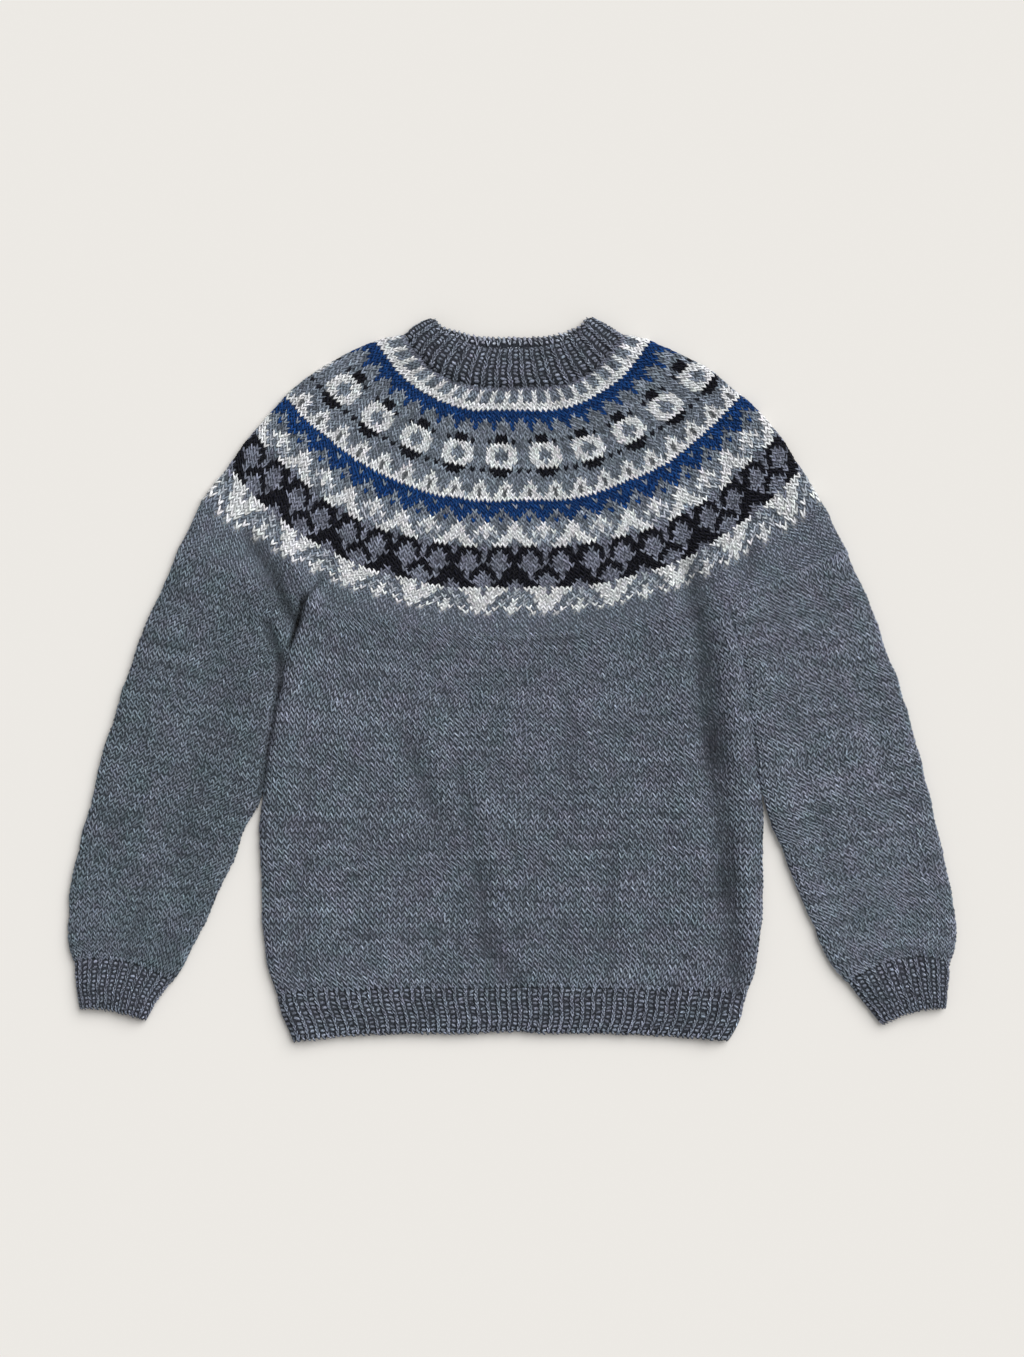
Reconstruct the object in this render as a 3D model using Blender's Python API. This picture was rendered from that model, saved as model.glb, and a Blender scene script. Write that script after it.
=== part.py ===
"""Nordic yoke sweater, laid flat on its back with the sleeves beside the body.

Every piece is a knitted tube pressed flat: a lower layer that rests on the ground, an upper layer
on top of it, a soft fold along each side, and both ends open. The axes are +X to the right, +Y from
the hem to the neck and +Z up. The origin is on the ground, under the middle of the garment.
Lengths in the tables are millimetres.
"""

import bmesh
import bpy
import math
import numpy as np

MM = 0.001

# --- Driving sizes -------------------------------------------------------------------------------
WALL = 3.0  # one layer of knitting
RIB_WALL = 3.2  # one layer of ribbing, before its raised columns
NECK_WALL = 4.2  # the neckband's ribbing, drawn in tighter and so thicker
LAYERS = 7.8  # lower layer, air and upper layer together, in the middle of a piece
FOLD_REACH = 9.0  # how far in from the edge a side fold rounds over
FOLD_SWELL = 0.9  # extra height beside a side fold, where the cloth springs up
FOLD_SWELL_WIDTH = 13.0
FOLD_SWELL_AT = 14.4  # how far in from the edge it is highest
SEAM = 0.4  # between two pieces, along Y
SIDE_GAP = 0.5  # between the body and a sleeve that lies against it
UNDERARM_LEFT = -186.0  # X of the corners where body, sleeve and yoke meet
UNDERARM_RIGHT = 190.0

HEM_COLUMNS = 38  # raised columns across the front of each ribbed piece
CUFF_COLUMNS = 10
NECK_COLUMNS = 22
RIB_HEIGHT = 1.1
RIB_PHASES = (0.0, 0.3, 0.5, 0.7)  # a wide channel, then a narrow column
RIB_LIFTS = (0.0, 0.15, 1.0, 0.15)

# The round where body and sleeves join the yoke: y = middle + rise * |x / half width| ** fullness.
JOIN_MIDDLE = 38.4
JOIN_RISE = 77.7
JOIN_HALF = 294.5
JOIN_FULLNESS = 1.87
JOIN_TOP = JOIN_MIDDLE + JOIN_RISE

# --- Outlines ------------------------------------------------------------------------------------
# Body, below the joining round: height of the two side folds, how much higher they are than the
# middle of that row and how full that bend is, and where the left and right folds are.
BODY = (
    # side y, rise, fullness, left x, right x
    (50.8, 31.0, 1.87, -189.2, 194.4),
    (26.0, 26.0, 1.87, -197.8, 201.8),
    (4.0, 21.0, 1.87, -203.6, 206.4),
    (-20.7, 16.0, 1.87, -208.9, 209.9),
    (-49.0, 11.5, 1.87, -214.0, 213.9),
    (-76.4, 7.5, 1.87, -218.5, 217.2),
    (-104.6, 4.0, 1.87, -222.0, 220.6),
    (-135.0, 2.0, 1.87, -223.0, 221.2),
    (-170.0, 0.0, 3.0, -222.6, 221.4),
    (-205.0, -1.0, 3.0, -221.4, 220.4),
    (-235.0, -2.5, 3.0, -218.8, 217.8),
    (-258.0, -4.5, 3.0, -214.4, 214.2),
    (-278.6, -6.0, 3.0, -208.8, 208.0),
)
HEM = (
    # side y, rise, fullness, left x, right x
    (-279.0, -6.0, 3.0, -208.6, 207.8),
    (-298.0, -7.0, 3.0, -203.0, 201.0),
    (-319.6, -8.0, 3.0, -193.2, 190.6),
)

# Sleeves, below the joining round: the outer fold and the inner fold of each section, and how far
# its middle lies above a straight run between them. The first SLEEVE_BESIDE_BODY inner folds lie
# against the body's side fold.
SLEEVE_BESIDE_BODY = 6
SLEEVE_LEFT = (
    # outer x, outer y, inner x, inner y, bow
    (-307.8, 84.3, -189.2, 50.8, 0.0),
    (-319.6, 59.6, -197.8, 26.0, 0.0),
    (-330.6, 31.3, -203.6, 4.0, 0.0),
    (-340.0, 4.0, -208.9, -20.7, 0.0),
    (-348.4, -23.4, -214.0, -49.0, 0.0),
    (-356.2, -49.9, -218.5, -76.4, 0.0),
    (-363.4, -74.6, -225.0, -104.6, 0.0),
    (-370.4, -102.0, -234.4, -129.4, 0.0),
    (-376.8, -127.6, -242.9, -148.8, 0.0),
    (-383.0, -152.3, -252.4, -170.0, 1.0),
    (-388.4, -177.0, -261.8, -191.2, 2.0),
    (-391.2, -201.8, -271.4, -214.1, 3.5),
    (-392.4, -224.7, -281.0, -234.6, 5.5),
    (-390.8, -239.0, -290.0, -251.6, 7.5),
    (-386.4, -249.9, -301.0, -266.4, 10.0),
)
SLEEVE_RIGHT = (
    # outer x, outer y, inner x, inner y, bow
    (307.4, 84.3, 194.4, 50.8, 0.0),
    (318.2, 59.6, 201.8, 26.0, 0.0),
    (328.2, 31.3, 206.4, 4.0, 0.0),
    (338.0, 4.0, 209.9, -20.7, 0.0),
    (346.6, -23.4, 213.9, -49.0, 0.0),
    (354.6, -49.9, 217.2, -76.4, 0.0),
    (361.6, -74.6, 222.6, -104.6, 0.0),
    (367.9, -102.0, 229.4, -129.4, 0.0),
    (374.0, -127.6, 238.0, -148.8, 0.0),
    (380.2, -152.3, 246.8, -170.0, 1.5),
    (385.6, -177.0, 255.6, -191.2, 3.0),
    (389.8, -201.8, 264.2, -214.1, 5.0),
    (392.6, -224.7, 273.4, -235.3, 7.5),
    (391.6, -238.0, 283.0, -251.6, 10.0),
    (387.4, -249.9, 297.0, -267.4, 13.0),
)
CUFF_LEFT = (
    (-386.0, -250.5, -301.6, -267.0, 10.0),
    (-384.6, -270.0, -312.6, -280.6, 6.5),
    (-382.2, -290.0, -324.0, -301.6, 3.5),
)
CUFF_RIGHT = (
    (387.0, -250.5, 297.6, -268.0, 13.0),
    (384.8, -270.6, 309.6, -283.6, 8.0),
    (382.0, -290.4, 325.4, -303.8, 4.0),
)

# Yoke rounds, from the joining round up: height in the middle, the left and right shoulder folds,
# fullness (a higher number keeps the round flat across the front and bends it at the shoulders),
# how much higher the back layer lies, and the height of both layers together.
YOKE = (
    # middle, left x, left y, right x, right y, fullness, back lift, layers
    (JOIN_MIDDLE, -JOIN_HALF, JOIN_TOP, JOIN_HALF, JOIN_TOP, JOIN_FULLNESS, 0.0, LAYERS),
    (57.8, -273.0, 157.4, 272.4, 157.4, 2.30, 0.0, 7.8),
    (81.2, -252.0, 187.6, 254.0, 186.4, 2.70, 0.5, 7.8),
    (116.6, -229.6, 218.4, 235.0, 218.0, 2.75, 1.0, 7.8),
    (157.6, -200.4, 249.2, 202.2, 250.0, 2.50, 2.0, 7.9),
    (196.5, -166.4, 275.6, 170.2, 275.6, 2.45, 3.5, 8.0),
    (237.1, -122.0, 298.2, 122.6, 298.2, 3.00, 5.5, 8.4),
    (258.4, -96.0, 303.4, 97.0, 303.6, 3.30, 7.0, 9.0),
)
NECKBAND = (
    # middle, left x, left y, right x, right y, fullness, back lift, layers
    (259.2, -95.2, 304.2, 96.2, 304.4, 3.30, 7.0, 9.8),
    (276.0, -84.2, 313.0, 83.4, 313.2, 3.00, 8.0, 11.0),
    (292.8, -71.8, 319.0, 69.6, 319.6, 2.80, 9.0, 11.4),
)

# --- Drape of the upper layer ----------------------------------------------------------------------
# Soft troughs (negative height) and ridges, each a straight run that fades at its ends.
FOLDS = (
    # start x, start y, end x, end y, half width, height of the fold
    (166.0, 96.0, 192.0, -256.0, 11.0, -1.1),  # long trough down the right of the body
    (143.0, 70.0, 166.0, -262.0, 13.0, 0.9),  # ridge beside it
    (-88.0, -66.0, 0.0, -268.0, 13.0, -0.8),  # slanting crease towards the hem
    (52.0, -66.0, 16.0, -120.0, 12.0, -0.5),
    (-118.0, -152.0, -58.0, -152.0, 10.0, -0.4),
    (87.0, -150.0, 84.0, -250.0, 12.0, 0.6),
    (-120.0, -40.0, -150.0, -230.0, 20.0, 0.6),
    (-222.0, 108.0, -188.0, 62.0, 8.0, -1.1),  # left underarm
    (-240.0, 92.0, -206.0, 30.0, 8.0, 0.8),
    (224.0, 108.0, 192.0, 62.0, 8.0, -1.1),  # right underarm
    (246.0, 84.0, 216.0, 10.0, 9.0, 0.8),
    (-290.0, 40.0, -338.0, -190.0, 22.0, 0.9),  # along the left sleeve
    (-252.0, -10.0, -300.0, -180.0, 12.0, -0.7),
    (284.0, 40.0, 336.0, -190.0, 22.0, 0.9),  # along the right sleeve
    (250.0, -20.0, 292.0, -180.0, 12.0, -0.6),
    (-120.0, 160.0, -40.0, 118.0, 20.0, 0.5),
    (60.0, 110.0, 150.0, 170.0, 20.0, 0.5),
)
FOLD_FADE = 30.0  # length over which a fold fades past each end

# --- How finely each piece is built ----------------------------------------------------------------
BODY_PLACES = (22, 7)  # across the upper layer and across the lower one
SLEEVE_PLACES = (10, 5)
YOKE_PLACES = (30, 11)
SIDE_PLACES = 4  # round each side fold
ROUNDS_BETWEEN = 1  # extra sections between two rows of a round table
CURVE_SAMPLES = 120
SHARP_EDGE = math.radians(50)

GREY_HEATHER = (0.115, 0.135, 0.165)
GREY_MARL = (0.095, 0.108, 0.135)
YOKE_GREY = (0.165, 0.185, 0.215)


def drape(points):
    """How far the upper layer lies above or below its plain height at these (x, y) places."""
    height = np.zeros(len(points))
    for x0, y0, x1, y1, half_width, depth in FOLDS:
        start = np.array((x0, y0))
        run = np.array((x1 - x0, y1 - y0))
        length = np.hypot(*run)
        along = (points - start) @ run / length
        across = (points - start) @ np.array((-run[1], run[0])) / length
        past_end = np.maximum(np.maximum(-along, along - length), 0.0)
        height += depth * np.exp(-((across / half_width) ** 2) - (past_end / FOLD_FADE) ** 2)
    return height


def smooth_rows(table, between):
    """The table's rows with more rows read between them from a smooth curve through each column."""
    rows = np.array(table, float)
    slopes = np.gradient(rows, axis=0)
    result = []
    for index in range(len(rows) - 1):
        for step in range(between + 1):
            t = step / (between + 1)
            result.append(
                rows[index] * (1 + 2 * t) * (1 - t) ** 2
                + slopes[index] * t * (1 - t) ** 2
                + rows[index + 1] * t * t * (3 - 2 * t)
                - slopes[index + 1] * t * t * (1 - t)
            )
    result.append(rows[-1])
    return result


def round_plan(middle, left, right, fullness):
    """Plan of one round, from its left fold through the middle of the front to its right fold."""
    x = np.linspace(left[0], right[0], CURVE_SAMPLES)
    centre = (left[0] + right[0]) / 2
    share = (x - centre) / ((right[0] - left[0]) / 2)
    rise = np.where(share < 0, left[1], right[1]) - middle
    return np.column_stack((x, middle + rise * np.abs(share) ** fullness))


def join_plan(start_x, end_x):
    """Plan of the stretch of the joining round that a piece below it meets."""
    x = np.linspace(start_x, end_x, CURVE_SAMPLES)
    rise = JOIN_RISE * np.abs(x / JOIN_HALF) ** JOIN_FULLNESS
    return np.column_stack((x, JOIN_MIDDLE + rise - SEAM))


def bowed_plan(start, end, bow):
    t = np.linspace(0, 1, CURVE_SAMPLES)
    x = start[0] * (1 - t) + end[0] * t
    y = start[1] * (1 - t) + end[1] * t
    return np.column_stack((x, y + 4 * bow * t * (1 - t)))


def section_ring(section, inset, tops, bottoms):
    """One closed ring round a flattened tube: along the lower layer, round the right fold, back
    along the upper layer and round the left fold. inset is 0 for the outer face and the wall's
    thickness for the inner face. tops are (share of the width, -1 to 1, and height raised)."""
    plan, layers, back_lift = section
    steps = np.hypot(*np.diff(plan, axis=0).T)
    reach = np.concatenate(([0.0], np.cumsum(steps)))
    half = reach[-1] / 2
    flat = half - FOLD_REACH
    turn = np.linspace(-math.pi / 2, math.pi / 2, SIDE_PLACES + 2)[1:-1]
    across = (FOLD_REACH - inset) * np.cos(turn)
    rise = layers / 2 + (layers / 2 - inset) * np.sin(turn)
    side_share = (1 + np.sin(turn)) / 2
    bottom_s = np.linspace(-flat, flat, bottoms)
    top_s = np.array([share for share, _ in tops])[::-1] * flat
    top_z = np.full(len(tops), layers - inset)
    if inset == 0:
        top_z += np.array([lift for _, lift in tops])[::-1]
    s = np.concatenate((bottom_s, flat + across, top_s, -flat - across[::-1]))
    z = np.concatenate((np.full(bottoms, inset), rise, top_z, rise[::-1]))
    upper = np.concatenate((np.zeros(bottoms), side_share, np.ones(len(tops)), side_share[::-1]))
    x = np.interp(s + half, reach, plan[:, 0])
    y = np.interp(s + half, reach, plan[:, 1])
    from_swell = (half - np.abs(s) - FOLD_SWELL_AT) / FOLD_SWELL_WIDTH
    z += upper * (drape(np.column_stack((x, y))) + FOLD_SWELL * np.exp(-(from_swell**2)))
    y += back_lift * (1 - (s / half) ** 2) * (1 - upper)
    return np.column_stack((x, y, z))


def plain_tops(count):
    return [(share, 0.0) for share in np.linspace(-1, 1, count)]


def rib_tops(columns):
    """Places across the upper layer for this many raised columns, with how far each is raised."""
    tops = []
    for column in range(columns):
        for phase, lift in zip(RIB_PHASES, RIB_LIFTS):
            tops.append((2 * (column + phase) / columns - 1, lift * RIB_HEIGHT))
    tops.append((1.0, 0.0))
    return tops


def wool(name, colour):
    material = bpy.data.materials.new(name)
    material.use_nodes = True
    shader = material.node_tree.nodes["Principled BSDF"]
    shader.inputs["Base Color"].default_value = (*colour, 1.0)
    shader.inputs["Roughness"].default_value = 0.95
    shader.inputs["Metallic"].default_value = 0.0
    return material


def skin(shape, near, far):
    """Faces between two rings of the same number of points."""
    for index in range(len(near)):
        shape.faces.new((near[index - 1], near[index], far[index], far[index - 1]))


def add_tube(name, sections, tops, bottoms, wall, colour):
    """A flattened tube through these sections, each (plan, layers, back lift), open at both ends."""
    shape = bmesh.new()
    outer = []
    inner = []
    for section in sections:
        for rings, inset in ((outer, 0.0), (inner, wall)):
            points = section_ring(section, inset, tops, bottoms) * MM
            rings.append([shape.verts.new(point) for point in points])
    for rings in (outer, inner):
        for near, far in zip(rings, rings[1:]):
            skin(shape, near, far)
    skin(shape, outer[0], inner[0])
    skin(shape, outer[-1], inner[-1])
    bmesh.ops.recalc_face_normals(shape, faces=shape.faces[:])
    mesh = bpy.data.meshes.new(name)
    shape.to_mesh(mesh)
    shape.free()
    mesh.shade_smooth()
    mesh.set_sharp_from_angle(angle=SHARP_EDGE)
    mesh.materials.append(wool(name, colour))
    piece = bpy.data.objects.new(name, mesh)
    bpy.context.scene.collection.objects.link(piece)


def row_sections(table):
    """Sections of the body or its hem, whose rows are level but for a slight bend."""
    return [
        (round_plan(y - rise, (left, y), (right, y), fullness), LAYERS, 0.0)
        for y, rise, fullness, left, right in table
    ]


def body_sections():
    return [(join_plan(UNDERARM_LEFT, UNDERARM_RIGHT), LAYERS, 0.0)] + row_sections(BODY)


def sleeve_sections(table, side, underarm_x):
    """Sections of the sleeve on this side, -1 or 1, just clear of the body it lies against. They
    start with the joining round's bend and straighten out on the way down."""
    top = join_plan(side * JOIN_HALF, underarm_x + side * SIDE_GAP)
    bend = top - bowed_plan(top[0], top[-1], 0.0)
    sections = [(top, LAYERS, 0.0)]
    for index, (outer_x, outer_y, inner_x, inner_y, bow) in enumerate(table):
        share = max(0.0, 1 - (index + 1) / SLEEVE_BESIDE_BODY)
        if index < SLEEVE_BESIDE_BODY:
            inner_x += side * SIDE_GAP
        plan = bowed_plan((outer_x, outer_y), (inner_x, inner_y), bow) + share * bend
        sections.append((plan, LAYERS, 0.0))
    return sections


def cuff_sections(table):
    return [
        (bowed_plan((outer_x, outer_y), (inner_x, inner_y), bow), LAYERS, 0.0)
        for outer_x, outer_y, inner_x, inner_y, bow in table
    ]


def round_sections(table):
    sections = []
    for row in smooth_rows(table, ROUNDS_BETWEEN):
        middle, left_x, left_y, right_x, right_y, fullness, lift, layers = row
        plan = round_plan(middle, (left_x, left_y), (right_x, right_y), fullness)
        sections.append((plan, layers, lift))
    return sections


def build_body():
    across, under = BODY_PLACES
    add_tube("body", body_sections(), plain_tops(across), under, WALL, GREY_HEATHER)
    add_tube("hem_rib", row_sections(HEM), rib_tops(HEM_COLUMNS), under, RIB_WALL, GREY_MARL)


def build_sleeve(name, side, underarm_x, sleeve_table, cuff_table):
    across, under = SLEEVE_PLACES
    sleeve = sleeve_sections(sleeve_table, side, underarm_x)
    add_tube(f"sleeve_{name}", sleeve, plain_tops(across), under, WALL, GREY_HEATHER)
    cuff = cuff_sections(cuff_table)
    add_tube(f"cuff_{name}", cuff, rib_tops(CUFF_COLUMNS), under, RIB_WALL, GREY_MARL)


def build_yoke():
    across, under = YOKE_PLACES
    add_tube("yoke", round_sections(YOKE), plain_tops(across), under, WALL, YOKE_GREY)
    neckband = round_sections(NECKBAND)
    add_tube("neckband", neckband, rib_tops(NECK_COLUMNS), under, NECK_WALL, GREY_MARL)


for existing in list(bpy.data.objects):
    bpy.data.objects.remove(existing, do_unlink=True)
build_body()
build_sleeve("left", -1, UNDERARM_LEFT, SLEEVE_LEFT, CUFF_LEFT)
build_sleeve("right", 1, UNDERARM_RIGHT, SLEEVE_RIGHT, CUFF_RIGHT)
build_yoke()
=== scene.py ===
"""Nordic yoke sweater, hand-knitted in heathered wool, laid flat with its sleeves beside the body.

The garment is knitted in the round from the bottom up. Each piece is a tube pressed flat: a thin
cloth with the stitches on it, one V of two yarn legs for each stitch, in rounds that follow the
tube. The pieces follow in the order in which a knitter makes and joins them.
"""

import math

import bpy
import numpy as np
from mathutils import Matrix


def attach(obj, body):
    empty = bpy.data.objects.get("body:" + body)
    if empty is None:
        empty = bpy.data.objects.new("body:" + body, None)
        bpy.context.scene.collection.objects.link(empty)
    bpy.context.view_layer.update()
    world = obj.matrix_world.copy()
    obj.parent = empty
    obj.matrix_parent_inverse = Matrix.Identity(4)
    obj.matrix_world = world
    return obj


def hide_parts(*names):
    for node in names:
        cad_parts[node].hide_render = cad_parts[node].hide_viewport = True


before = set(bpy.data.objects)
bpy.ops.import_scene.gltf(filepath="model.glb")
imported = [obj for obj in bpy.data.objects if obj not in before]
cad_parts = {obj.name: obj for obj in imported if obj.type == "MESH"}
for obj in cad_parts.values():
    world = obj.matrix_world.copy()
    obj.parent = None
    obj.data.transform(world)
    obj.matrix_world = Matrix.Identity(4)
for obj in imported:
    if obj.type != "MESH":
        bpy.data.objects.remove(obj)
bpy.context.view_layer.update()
scene = bpy.context.scene
MM = 0.001


# --- The camera, straight above the middle of the sweater ---
# It looks down with the hem towards the viewer, from so far that the cloth's height hardly spreads.
CAMERA_HEIGHT = 3.0  # above the upper faces of the cloth
CAMERA_PLACE = (-0.0004, 0.0009, CAMERA_HEIGHT + 0.008)
SEEN_LENGTH = 1.1982  # from the top to the bottom of the view
camera_data = bpy.data.cameras.new("camera")
camera_data.sensor_width = 36.0
camera_data.lens = camera_data.sensor_width * CAMERA_HEIGHT / SEEN_LENGTH
camera = bpy.data.objects.new("camera", camera_data)
camera.location = CAMERA_PLACE
scene.collection.objects.link(camera)
scene.camera = camera


# --- The body ---
# The trunk's front and back, one plain tube of stocking stitch from the hem rib to the underarms,
# in a blue-grey yarn spun from dark and light fibres. It is knitted first, on a circular needle.
BODY_COLUMNS = 182  # stitches all round
BODY_ROUNDS = 72
LAYERS = 7.8  # height of both layers of cloth with the air between them
CLOTH = 1.8  # thickness of the cloth behind the stitches
YARN_RISE = 0.7  # how far the cloth lies below the outer faces of the solid pieces
SIDE_RISE = 0.9  # how much less that is at the side folds, where pieces touch each other
FOLD_REACH = 9.0  # how far in from the edge a side fold rounds over
FOLD_SWELL = (1.5, 13.0, 12.0)  # extra height beside a fold, how far in it is, and its width
UNEVEN = 0.3  # how far a side fold stands out or in from round to round
DEEPEST_TROUGH = -2.6  # there the upper layer lies on the lower one
TOP_START = 0.2375  # shares of the way round: the upper layer with half of each side fold
TOP_END = 0.7625
BACK_END = 1.0 + TOP_START
LINE_POINTS = 160
RING_POINTS = (80, 33, 240)  # over half the lower layer, round a side fold, over the upper layer

BODY_GREY = (130, 139, 153)
LEG_LIGHT = (1.28, 0.80)  # a stitch's left leg catches the light, the right one turns from it
SLANT_LIGHT = (1.04, 0.98)  # hardly so on a sleeve whose stitches lean towards the light
LEG_SKEW = 0.26  # how far twisted yarn leans a stitch over, where its legs differ in light
LEG_SPREAD = 0.18  # how much one leg's colour differs from the next
CREST_LIGHT = (0.74, 0.66)  # how light a yarn's flanks are, and how much lighter its crest
TROUGH_SHADE = 0.18  # for each millimetre that the cloth is sunk
RIDGE_LIGHT = 0.03  # for each millimetre that it is raised
PALE_FILL = 0.9  # light fills the shadows between pale yarns
PALE_RISE = 0.45  # a white yarn is fluffier and stands up this much over the others
PALE_WIDTH = 0.20  # and its legs are this much wider
PALE_EVEN = (0.6, 0.8)  # and differ this much less in colour and in light
PLAIN_LOOSE = 1.35  # how unevenly plain stitches lie, where 1 is hardly
HAND = (0.035, 0.06, 0.10, 0.10, 0.06, 0.16)  # spread in sway, drop, lean, height, width, slant
DRIFTS = ((5.0, 1.0), (60.0, 0.5))  # over how many stitches its yarn's colour drifts, how strongly
TINT = 0.012  # how much its hue changes from stitch to stitch
TONE_LIMITS = (0.4, 1.9)  # it never gets darker or lighter than this
FIBRES_ACROSS = 6.0  # streaks across the width of a stitch
FLECKS = 800.0  # these four are waves in a metre
HAIRS = 1900.0
PATCHES = 45.0
MOTTLES = 33.0
MOTTLE_DEPTH = 0.2  # next to that of the patches
LILAC = (1.10, 0.99, 1.04)  # what the colour is multiplied by in each kind of patch
GREEN_GREY = (0.90, 1.01, 0.96)

JOIN_MIDDLE = 38.4  # the round where body and sleeves meet the yoke: its y in front
JOIN_RISE = 77.7  # how much higher it lies at the sides
JOIN_HALF = 294.5  # half its width
JOIN_FULLNESS = 1.87
UNDERARM_LEFT = -186.0
UNDERARM_RIGHT = 190.0
SEAM = 0.4  # between that round and the piece below it

BODY_SIDES = (
    # side y, rise, fullness, left x, right x
    (50.8, 31, 1.87, -189.2, 194.4),
    (26, 26, 1.87, -197.8, 201.8),
    (4, 21, 1.87, -203.6, 206.4),
    (-20.7, 16, 1.87, -208.9, 209.9),
    (-49, 11.5, 1.87, -214, 213.9),
    (-76.4, 7.5, 1.87, -218.5, 217.2),
    (-104.6, 4, 1.87, -222, 220.6),
    (-135, 2, 1.87, -223, 221.2),
    (-170, 0, 3, -222.6, 221.4),
    (-205, -1, 3, -221.4, 220.4),
    (-235, -2.5, 3, -218.8, 217.8),
    (-258, -4.5, 3, -214.4, 214.2),
    (-278.6, -6, 3, -208.8, 208),
)

# Soft troughs and ridges in the upper layer, as the cloth happened to settle. Their heights also
# paint shade into the stitches in the troughs and light on the ridges; a trough deeper than
# DEEPEST_TROUGH is there only painted shade.
FOLDS = (
    # start x, start y, end x, end y, half width, height
    (158, 92, 171, 26, 9, -4.5),  # long fold down the right of the body
    (171, 0, 178, -60, 10, -5),
    (178, -60, 190, -180, 10, -3.6),
    (190, -180, 198, -266, 10, -3.5),
    (190, 96, 212, -250, 9, 2.8),
    (140, 90, 162, -250, 12, 1.4),
    (-92, -58, -69, -118, 8, -2.4),  # slanting creases towards the hem
    (-76, -50, -52, -112, 9, 1.4),
    (-47, -84, -29, -177, 8, -1.7),
    (-29, -177, -20, -236, 8, -2.2),
    (-20, -240, 0, -262, 9, -2.6),
    (-30, -84, -10, -180, 10, 1.5),
    (50, -18, 53, -98, 8, -1.3),
    (66, -20, 70, -98, 10, 1),
    (86, -160, 86, -240, 8, -1.7),
    (102, -160, 104, -240, 10, 1.2),
    (-118, -152, -64, -156, 9, -0.8),
    (-150, -60, -164, -236, 14, 1.2),
    (-178, -80, -187, -250, 10, -0.8),
    (-120, -176, -112, -262, 10, 0.9),
    (-229, 120, -210, 90, 6, -4.2),  # left underarm
    (-211, 92, -197, 58, 6.5, -3.8),
    (-207, 84, -193.5, 55, 2.2, -4.5),
    (-173, 83, -184, 69, 1.8, -8),
    (-185, 69, -190, 50, 2.8, -8.5),
    (-190, 50, -196, 33, 2.2, -9),
    (-196, 112, -174, 66, 7, 5),
    (-238, 96, -216, 50, 9, 2.4),
    (-206, 42, -204, 28, 5, 2.5),
    (-216, 46, -206, 22, 5, -6),
    (-205, 22, -206, -6, 3.4, -5),
    (-206, -6, -223, -100, 2.8, -4),
    (-190, 32, -206, -90, 9, 1.4),
    (-226, 20, -240, -90, 9, 1.4),
    (214, 112, 186, 62, 8, -1.2),  # right underarm
    (228, 108, 202, 50, 9, 2.2),
    (-290, 40, -338, -190, 20, 1.6),  # along the left sleeve
    (-334, -150, -312, -236, 22, -1),
    (-258, -20, -300, -170, 10, -0.8),
    (-318, -60, -352, -160, 11, -0.7),
    (-300, -168, -322, -240, 8, 1.3),
    (-326, -190, -340, -244, 6, -0.9),
    (-360, -180, -362, -240, 7, 1.2),
    (284, 40, 336, -190, 20, 1.6),  # along the right sleeve
    (250, -30, 288, -170, 10, -0.7),
    (318, -40, 352, -150, 11, -0.6),
    (310, -172, 326, -240, 7, 1.3),
    (338, -186, 346, -244, 6, -0.9),
    (364, -180, 366, -240, 7, 1.2),
    (-150, 190, -60, 140, 22, 1.2),  # over the yoke
    (60, 128, 160, 186, 22, 1.2),
    (-20, 96, 70, 92, 16, -0.5),
    (-250, 150, -214, 200, 14, 1),
    (214, 200, 252, 150, 14, 1),
    (-90, 296, -72, 275, 2.2, -1.6),  # under the neckband
    (-71, 274, -50, 263, 2.2, -1.6),
    (-49, 263, 2, 258, 2.2, -1.6),
    (3, 258, 49, 262, 2.2, -1.6),
    (50, 263, 72, 274, 2.2, -1.6),
    (73, 275, 91, 296, 2.2, -1.6),
)
FOLD_FADE = (1.3, 4.0)  # how far one runs on past each end: in half widths, and in mm on top
BACK_LIFT = 0.5  # how much of a ridge's height the lower layer follows
STRAY_WAVES = (26.0, 38.0, 60.0, 95.0)  # lengths of the waves in which rows and columns wander
STRAY = 0.0045  # how far they do, as a part of each wave's length


def stray(x, y):
    """How far the cloth lies sideways and upwards of its even place, as hand-knitted rows do."""
    random = np.random.default_rng(5)
    aside = np.zeros(np.shape(x))
    up = np.zeros(np.shape(x))
    for length in STRAY_WAVES * 2:
        angle, start, lag = random.uniform(0.0, 2 * math.pi, 3)
        wave = 2 * math.pi * (x * math.cos(angle) + y * math.sin(angle)) / length
        aside += STRAY * length * np.sin(wave + start)
        up += STRAY * length * np.sin(wave + lag)
    return aside, up


def drape(x, y):
    """How far the upper layer is pushed above or below its plain height at these places."""
    height = np.zeros(np.shape(x))
    for x0, y0, x1, y1, half_width, depth in FOLDS:
        length = math.hypot(x1 - x0, y1 - y0)
        along = ((x - x0) * (x1 - x0) + (y - y0) * (y1 - y0)) / length
        across = ((y - y0) * (x1 - x0) - (x - x0) * (y1 - y0)) / length
        past_end = np.maximum(np.maximum(-along, along - length), 0.0)
        past_end /= FOLD_FADE[0] * half_width + FOLD_FADE[1]
        height += depth * np.exp(-((across / half_width) ** 2) - past_end**2)
    return height


def even_line(x, y):
    """A line across a piece, read again at equal steps along its length."""
    reach = np.concatenate(([0.0], np.cumsum(np.hypot(np.diff(x), np.diff(y)))))
    even = np.linspace(0.0, reach[-1], LINE_POINTS)
    return np.column_stack((np.interp(even, reach, x), np.interp(even, reach, y)))


def round_line(middle, left_x, left_y, right_x, right_y, fullness):
    """One round seen from above, from its left fold through the middle of the front to its right
    fold: y rises from the middle by a power of the distance from it."""
    x = np.linspace(left_x, right_x, 4 * LINE_POINTS)
    share = (2 * x - left_x - right_x) / (right_x - left_x)
    rise = np.where(share < 0, left_y, right_y) - middle
    return even_line(x, middle + rise * np.abs(share) ** fullness)


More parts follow.
